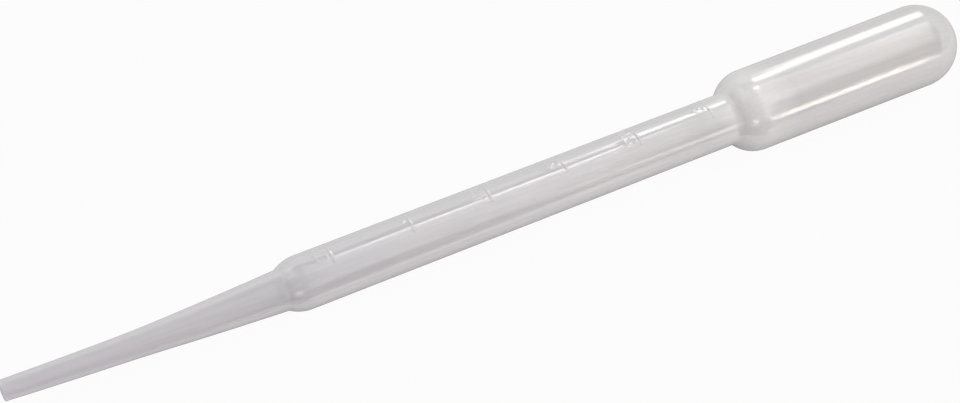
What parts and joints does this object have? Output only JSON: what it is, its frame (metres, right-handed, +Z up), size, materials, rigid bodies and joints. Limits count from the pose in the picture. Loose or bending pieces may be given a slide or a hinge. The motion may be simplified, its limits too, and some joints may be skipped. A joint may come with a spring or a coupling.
{
  "type": "dropper pipette",
  "caption": "One-piece soft plastic dropper pipette: domed squeeze bulb, straight graduated stem and fine drawn tip, open at its end.",
  "frame": {"origin": "on the surface the pipette lies on, under the middle of its length", "axes": "+X from the open tip to the bulb (the pipette's own axis climbs 1.8 degrees towards the bulb), +Z up, with the graduation lines on top"},
  "size_m": [0.155, 0.013, 0.0138],
  "materials": {
    "polyethylene": "natural low-density polyethylene, milky and translucent, smooth with a soft gloss"
  },
  "bodies": {
    "root": {"pipette": "polyethylene"}
  },
  "joints": []
}
